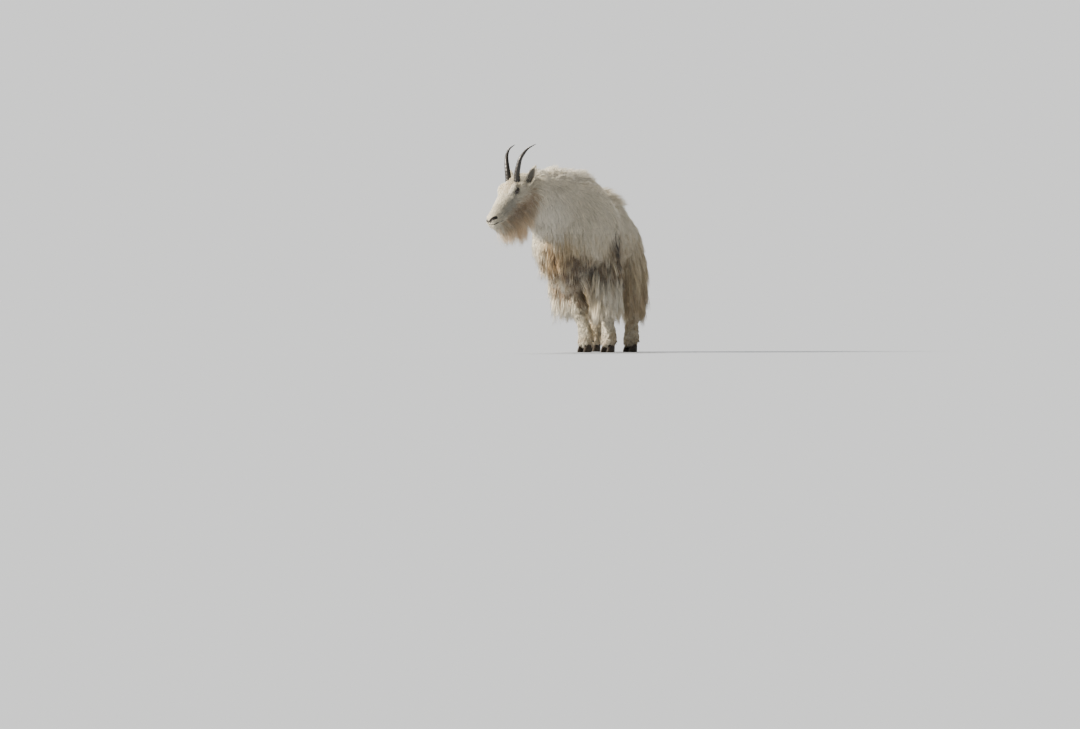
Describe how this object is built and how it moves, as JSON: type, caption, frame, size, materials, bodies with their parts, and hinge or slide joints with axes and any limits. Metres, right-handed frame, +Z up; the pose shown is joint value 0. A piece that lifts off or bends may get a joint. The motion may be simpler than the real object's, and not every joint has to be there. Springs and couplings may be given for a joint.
{
  "type": "mountain goat",
  "caption": "Life-size still model of a standing mountain goat in long winter coat, head lowered, with slim swept-back horns, beard, shoulder hump and shaggy legs.",
  "frame": {"origin": "on the floor, under the middle of the whole animal's bounding box", "axes": "-Y is the way the body faces, +X is the animal's own left, +Z is up"},
  "size_m": [0.5072, 1.333, 1.15],
  "materials": {
    "coat": "long cream-white hair",
    "horn": "black ringed horn",
    "hoof": "dark horn, dull",
    "eye": "dark, wet"
  },
  "bodies": {
    "root": {"head": "coat", "neck": "coat", "torso": "coat", "tail": "coat", "ear_left": "coat", "ear_right": "coat", "eye_left": "eye", "eye_right": "eye", "horn_left": "horn", "horn_right": "horn", "foreleg_left_upper": "coat", "foreleg_left_lower": "coat", "foreleg_left_claw_outer": "hoof", "foreleg_left_claw_inner": "hoof", "foreleg_right_upper": "coat", "foreleg_right_lower": "coat", "foreleg_right_claw_outer": "hoof", "foreleg_right_claw_inner": "hoof", "hindleg_left_upper": "coat", "hindleg_left_lower": "coat", "hindleg_left_claw_outer": "hoof", "hindleg_left_claw_inner": "hoof", "hindleg_right_upper": "coat", "hindleg_right_lower": "coat", "hindleg_right_claw_outer": "hoof", "hindleg_right_claw_inner": "hoof"}
  },
  "joints": []
}
